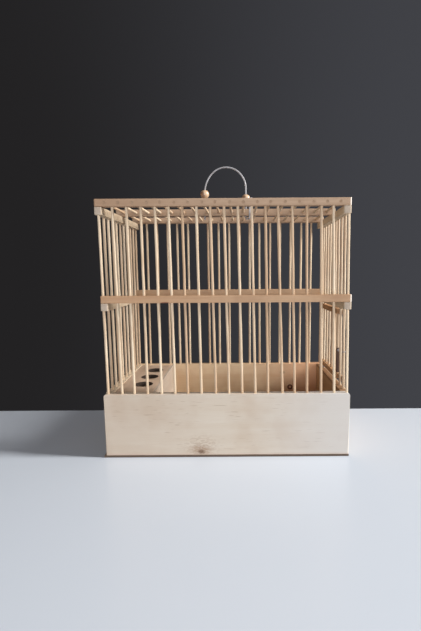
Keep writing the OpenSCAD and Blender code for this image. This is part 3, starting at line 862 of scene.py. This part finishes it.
bpy.ops.object.select_all(action="DESELECT")
bpy.ops.mesh.primitive_circle_add(vertices=14, radius=WIRE, rotation=(QUARTER, 0, 0),
                                  location=(left_leg.x, leg_y - BEND - LEFT_FOOT, foot_z))
handle_bow = settle("handle_bow_wire")
bpy.ops.object.mode_set(mode="EDIT")
bpy.ops.mesh.select_all(action="SELECT")
run_wire(away, LEFT_FOOT)
bend_wire((left_leg.x, leg_y - BEND, bend_z), across, QUARTER, steps=6)
run_wire(up, bow_base - bend_z)
bend_wire(left_centre, away, SHOULDER, steps=10)
bend_wire(top_centre, away, math.pi - 2 * SHOULDER, steps=16)
bend_wire(right_centre, away, SHOULDER, steps=8)
run_wire(-up, right_centre.z - bend_z)
bend_wire(Vector((right_leg.x, leg_y, bend_z)) + forward * BEND, aside, -QUARTER, steps=6)
run_wire(forward, TAIL_REACH - 2 * BEND)
bend_wire(Vector((tail.x, tail.y, bend_z)) - forward * BEND, aside, -QUARTER, steps=6)
run_wire(up, tail_top - bend_z)
bend_wire(Vector((tail.x, tail.y, tail_top)) + aside * CURL, forward, -math.pi, steps=14)
close_wire()
soften(handle_bow, width=0.25 * MM, angle=60)
smooth(handle_bow, angle=50)
fit(handle_bow, steel_wire, "handle", "handle_wire")

# ---- Beads ----
# Two turned beads of reddish wood, drilled through and threaded onto the legs, where a hand takes the
# handle up. Their bores are a little wide, with flats round both mouths.

BEAD_BORE = 1.35 * MM
BEAD_FLAT = 0.93
# Painted shade: a brown patch low on the left of each bead, away from the window light.
SHADE_SPOT_AT = Vector((-6.5, -4.0, -2.0)) * MM
SHADE_SPOT_SIZE = 11 * MM


def bead_shade(place, colour):
    """Painted shade on the left and low down, the side of each bead that faces away from the window."""
    for leg in leg_places:
        painted_shade = place.round_spot(tuple(leg + SHADE_SPOT_AT), (SHADE_SPOT_SIZE, SHADE_SPOT_SIZE, SHADE_SPOT_SIZE))
        colour = (painted_shade.span(0.1, 0.55) * 0.85).between(colour, paint(118, 74, 48))
    return colour


bead_brown = wood("bead_brown", Z, paint(228, 198, 166), paint(206, 168, 132), paint(182, 138, 104),
                  figure=320.0, depth=0.9, rough=0.3, marks=bead_shade,
                  Coat_Weight=1.0, Coat_Roughness=0.42)


def bead(name, node):
    """A ball with its poles cut flat, bored and rounded at the mouths."""
    low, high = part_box(node)
    centre, radius = (low + high) / 2, (high.x - low.x) / 2
    bpy.ops.object.select_all(action="DESELECT")
    bpy.ops.mesh.primitive_uv_sphere_add(segments=36, ring_count=22, radius=radius, location=centre)
    piece = settle(name)
    bpy.ops.object.mode_set(mode="EDIT")
    for way in (up, -up):
        saw(centre + radius * BEAD_FLAT * way, way, clear_outer=True, use_fill=True)
    bpy.ops.object.mode_set(mode="OBJECT")
    soften(piece, width=0.3 * MM, angle=18)
    drill(piece, [(centre - radius * up, centre + radius * up)], BEAD_BORE, further=MM)
    smooth(piece)
    fit(piece, bead_brown, "handle", node)


bead("bead_left", "handle_left_bead")
bead("bead_right", "handle_right_bead")

# ---- Screw and washer ----
# A small round-headed screw through a washer, driven into the inner face of the back board until its slot
# stood at a slant. Both are brown with age.

SHANK = 1.0 * MM
SHANK_PLAY = 0.05 * MM
SLOT_HALF = Vector((4.0, 0.0, 0.3)) * MM
SLOT_DEEP = 0.5 * MM
SLOT_TURN = math.radians(24)
washer_low, washer_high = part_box("back_washer")
washer_at = (washer_low + washer_high) / 2
screw_low, screw_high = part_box("back_screw")
bpy.ops.object.select_all(action="DESELECT")
bpy.ops.mesh.primitive_cylinder_add(vertices=36, radius=(washer_high.x - washer_low.x) / 2,
                                    depth=washer_high.y - washer_low.y, location=washer_at,
                                    rotation=(QUARTER, 0, 0))
iron_washer = settle("iron_washer")
soften(iron_washer, width=0.2 * MM)
bore = (washer_at - 2 * MM * away, washer_at + 2 * MM * away)
drill(iron_washer, [bore], SHANK + SHANK_PLAY, sides=16)
smooth(iron_washer)
dark_iron = iron("dark_iron", paint(132, 88, 66), paint(100, 58, 42), rough=0.55, metal=0.15)
fit(iron_washer, dark_iron, "cage", "back_washer")

# The head is the cap of a larger ball, cut off at the washer's face, and the shank is drawn out of the cut.
head_high = washer_low.y - screw_low.y
head_radius = (screw_high.x - screw_low.x) / 2
ball = (head_radius ** 2 + head_high ** 2) / (2 * head_high)
bpy.ops.object.select_all(action="DESELECT")
bpy.ops.mesh.primitive_uv_sphere_add(segments=32, ring_count=48, radius=ball, rotation=(QUARTER, 0, 0),
                                     location=(washer_at.x, screw_low.y + ball, washer_at.z))
slotted_screw = settle("slotted_screw")
bpy.ops.object.mode_set(mode="EDIT")
saw((0, washer_low.y, 0), away, clear_outer=True, use_fill=True)
pick(slotted_screw, "FACE", lambda c: all(p.y > washer_low.y - 0.01 * MM for p in c) and len(c) > 8)
bpy.ops.mesh.inset(thickness=head_radius - SHANK)
bpy.ops.mesh.extrude_region_move(TRANSFORM_OT_translate={"value": (0, screw_high.y - washer_low.y, 0)})
bpy.ops.object.mode_set(mode="OBJECT")
face_at = Vector((washer_at.x, screw_low.y, washer_at.z))
slot_cutter = block("slot_cutter", face_at - SLOT_HALF - MM * away, face_at + SLOT_HALF + SLOT_DEEP * away)
slot_cutter.data.transform(Matrix.Translation(washer_at) @ Matrix.Rotation(SLOT_TURN, 4, "Y")
                           @ Matrix.Translation(-washer_at))
modify(slotted_screw, "BOOLEAN", operation="DIFFERENCE", solver="EXACT", object=slot_cutter)
bpy.data.objects.remove(slot_cutter)
smooth(slotted_screw)
worn_iron = iron("worn_iron", paint(222, 182, 154), paint(164, 116, 92), rough=0.42, metal=0.25)
fit(slotted_screw, worn_iron, "cage", "back_screw")

# ---- Wire tie ----
# Not quite a turn and a half of the same fine wire round the first stick of the right wall, left over from
# a perch or a water bottle.

TIE_GAP = 0.05 * MM
TIE_TURNS = 1.4
TIE_RISE = 0.5 * MM
tie_low, tie_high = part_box("stick_tie")
tie_foot = (tie_low + tie_high) / 2 - TIE_RISE / 2 * up
tie = coil("stick_tie_wire", tie_foot, TIE_GAP, TIE_TURNS, TIE_RISE)
fit(tie, steel_wire, "cage", "stick_tie")

# ---- Table, light and camera ----
# A plain pale table against a dark room, with soft light from a window at the right and a little from all
# round. The camera stands close in front of the cage, a little above its middle.

TABLE_BACK = 79 * MM
TABLE_WIDE = 4.0
TABLE_DEEP = 2.0
CAMERA_PLACE = (11.68 * MM, -509.6 * MM, 211.5 * MM)
CAMERA_TILT = math.radians(83.72)
CAMERA_ROLL = math.radians(-0.38)
bpy.ops.object.select_all(action="DESELECT")
bpy.ops.mesh.primitive_plane_add(size=1, location=(0, TABLE_BACK - TABLE_DEEP / 2, 0))
bpy.context.object.scale = (TABLE_WIDE, TABLE_DEEP, 1.0)
table = settle("table")
table_finish, new = new_finish("table_finish")
surface(new, paint(206, 213, 223), 0.27, None)
table.data.materials.append(table_finish)

world = bpy.data.worlds.new("room")
bpy.context.scene.world = world
world.use_nodes = True
world.node_tree.nodes.clear()
room = Shade(world.node_tree)


def glow(colour, strength):
    """Light of one colour, where a strength of 1 shows it as it is written."""
    return room.node("Background", None, {"Color": colour, "Strength": strength})


def blend(mask, first, second):
    """The first light where the mask is 0, the second where it is 1."""
    return room.node("MixShader", None, {0: mask, 1: first, 2: second})


# The walls that are seen, also in the table's gloss, are dark. What lights the cage is soft and pale, and
# stronger from the right, the front and above.
way = room.node("TexCoord", out="Generated")
toward = (way.part(X) * 0.5 - way.part(Y) * 0.6 + way.part(Z) * 0.4).span(-0.7, 0.9)
soft = blend(toward, glow(paint(255, 232, 214), 0.11), glow(paint(238, 241, 248), 0.25))
dark = blend(way.part(X).span(-0.5, 0.5), glow(paint(35, 34, 35), 1.0), glow(paint(66, 67, 72), 1.0))
seen = room.node("LightPath", out="Is Camera Ray")
glossy = room.node("LightPath", out="Is Glossy Ray")
clear = room.node("LightPath", out="Is Transmission Ray")
either = blend((seen + glossy * 0.7 + clear).span(0.0, 1.0), soft, dark)
room.node("OutputWorld", None, {"Surface": either})


def lamp(name, place, aim, wide, high, watts, colour):
    """A soft rectangular lamp that faces the point it is aimed at."""
    bpy.ops.object.light_add(type="AREA", location=place)
    light = bpy.context.object
    light.name = name
    light.rotation_euler = (Vector(aim) - Vector(place)).to_track_quat("-Z", "Y").to_euler()
    light.data.shape = "RECTANGLE"
    light.data.size, light.data.size_y = wide, high
    light.data.energy = watts
    light.data.color = colour


lamp("window", place=(2.92, -0.3, 1.75), aim=(0, 0, 0.12), wide=0.5, high=1.3, watts=184,
     colour=(1.0, 0.985, 0.96))
lamp("room_front", place=(-0.2, -2.6, 0.5), aim=(0, 0, 0.15), wide=1.6, high=0.7, watts=28,
     colour=(0.98, 0.98, 1.0))

bpy.ops.object.camera_add(location=CAMERA_PLACE)
camera = bpy.context.object
camera.matrix_world = (Matrix.Translation(camera.location) @ Matrix.Rotation(CAMERA_TILT, 4, "X")
                       @ Matrix.Rotation(CAMERA_ROLL, 4, "Z"))
camera.data.lens = 22.36
camera.data.shift_x = -0.0415
camera.data.clip_start = 0.01
bpy.context.scene.camera = camera
bpy.context.scene.view_settings.view_transform = "Standard"
